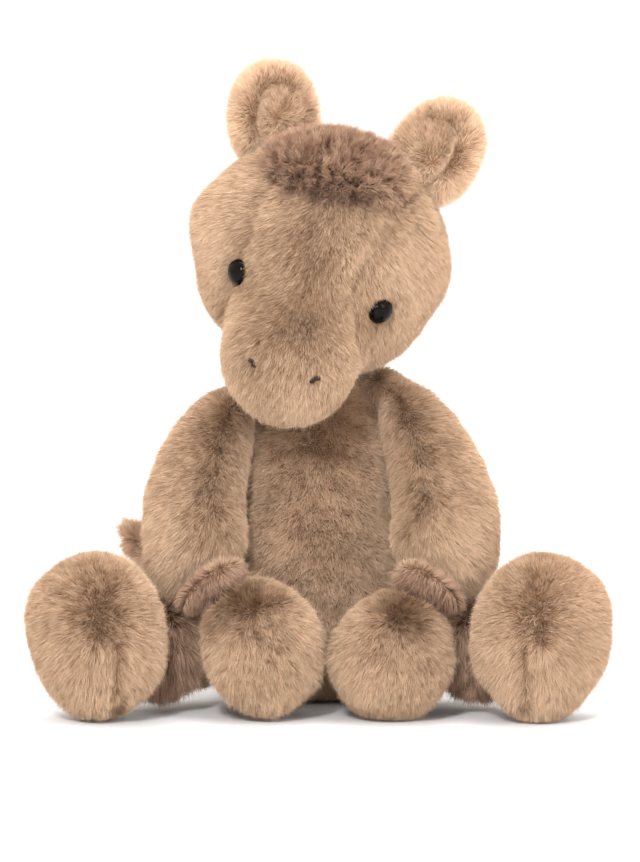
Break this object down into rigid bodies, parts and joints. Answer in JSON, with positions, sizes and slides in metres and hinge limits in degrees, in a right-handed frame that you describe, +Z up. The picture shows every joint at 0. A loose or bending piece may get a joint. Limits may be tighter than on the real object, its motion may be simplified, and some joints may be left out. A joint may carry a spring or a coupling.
{
  "type": "plush horse",
  "caption": "Sitting stuffed horse with a bowed, tilted head, splayed legs, round paws and feet, upright cupped ears and a soft tail; every seam bends.",
  "frame": {"origin": "on the floor, at the middle of the flat under the seat", "axes": "+Z up, -Y the way the toy faces, +X the toy's own left"},
  "size_m": [0.2362, 0.1688, 0.2613],
  "materials": {
    "tan_pile": "long soft pile",
    "brown_pile": "curly pile",
    "warm_brown_pile": "short soft pile",
    "nose_thread": "stitched thread",
    "eye_black": "polished",
    "washer_white": "moulded",
    "linen": "plain weave"
  },
  "bodies": {
    "torso": {"torso": "tan_pile", "seat_bean_pouch": "linen", "closing_thread": "linen"},
    "neck": {"neck": "tan_pile"},
    "head": {"head": "tan_pile", "eye_left": "eye_black", "eye_right": "eye_black", "eye_washer_left": "washer_white", "eye_washer_right": "washer_white", "nostril_stitch_left": "nose_thread", "nostril_stitch_right": "nose_thread", "forelock": "brown_pile", "mane": "brown_pile"},
    "tail": {"tail": "warm_brown_pile"},
    "ear_left": {"ear_left": "tan_pile", "ear_lining_left": "warm_brown_pile"},
    "arm_left": {"arm_left": "tan_pile", "wrist_band_left": "brown_pile"},
    "paw_left": {"paw_left": "tan_pile", "paw_bean_pouch_left": "linen"},
    "leg_left": {"leg_left": "tan_pile", "ankle_band_left": "brown_pile"},
    "foot_left": {"foot_left": "tan_pile", "foot_bean_pouch_left": "linen"},
    "ear_right": {"ear_right": "tan_pile", "ear_lining_right": "warm_brown_pile"},
    "arm_right": {"arm_right": "tan_pile", "wrist_band_right": "brown_pile"},
    "paw_right": {"paw_right": "tan_pile", "paw_bean_pouch_right": "linen"},
    "leg_right": {"leg_right": "tan_pile", "ankle_band_right": "brown_pile"},
    "foot_right": {"foot_right": "tan_pile", "foot_bean_pouch_right": "linen"}
  },
  "joints": [
    {"name": "neck_turn", "type": "hinge", "parent": "torso", "child": "neck", "pos_m": [0, 0, 0.12], "axis": [0, 0, 1], "range_deg": [-12, 12]},
    {"name": "head_nod", "type": "hinge", "parent": "neck", "child": "head", "pos_m": [0, 0, 0.1375], "axis": [0.9629, -0.0785, -0.258], "range_deg": [-12, 6]},
    {"name": "tail_swing", "type": "hinge", "parent": "torso", "child": "tail", "pos_m": [-0.004, 0.0385, 0.027], "axis": [0, 0, 1], "range_deg": [-20, 20]},
    {"name": "ear_left_flop", "type": "hinge", "parent": "head", "child": "ear_left", "pos_m": [0.04235, -0.00741, 0.21324], "axis": [0.8452, -0.075, -0.5292], "range_deg": [-12, 12], "stiffness_Nm_per_rad": 0.012},
    {"name": "arm_left_lift", "type": "hinge", "parent": "torso", "child": "arm_left", "pos_m": [0.0335, -0.008, 0.121], "axis": [-1, 0, 0], "range_deg": [0, 45]},
    {"name": "paw_left_bend", "type": "hinge", "parent": "arm_left", "child": "paw_left", "pos_m": [0.03837, -0.05857, 0.04821], "axis": [-1, 0, 0], "range_deg": [0, 20]},
    {"name": "leg_left_swing", "type": "hinge", "parent": "torso", "child": "leg_left", "pos_m": [0.037, -0.014, 0.023], "axis": [0, 0, 1], "range_deg": [0, 22]},
    {"name": "foot_left_tilt", "type": "hinge", "parent": "leg_left", "child": "foot_left", "pos_m": [0.07301, -0.05261, 0.02762], "axis": [0.7314, 0.682, 0], "range_deg": [-10, 10]},
    {"name": "ear_right_flop", "type": "hinge", "parent": "head", "child": "ear_right", "pos_m": [-0.01639, -0.00263, 0.22898], "axis": [0.9965, -0.075, 0.0357], "range_deg": [-12, 12], "stiffness_Nm_per_rad": 0.012},
    {"name": "arm_right_lift", "type": "hinge", "parent": "torso", "child": "arm_right", "pos_m": [-0.0335, -0.008, 0.121], "axis": [-1, 0, 0], "range_deg": [0, 45]},
    {"name": "paw_right_bend", "type": "hinge", "parent": "arm_right", "child": "paw_right", "pos_m": [-0.03837, -0.05857, 0.04821], "axis": [-1, 0, 0], "range_deg": [0, 20]},
    {"name": "leg_right_swing", "type": "hinge", "parent": "torso", "child": "leg_right", "pos_m": [-0.037, -0.014, 0.023], "axis": [0, 0, -1], "range_deg": [0, 22]},
    {"name": "foot_right_tilt", "type": "hinge", "parent": "leg_right", "child": "foot_right", "pos_m": [-0.07301, -0.05261, 0.02762], "axis": [0.7314, -0.682, 0], "range_deg": [-10, 10]}
  ]
}
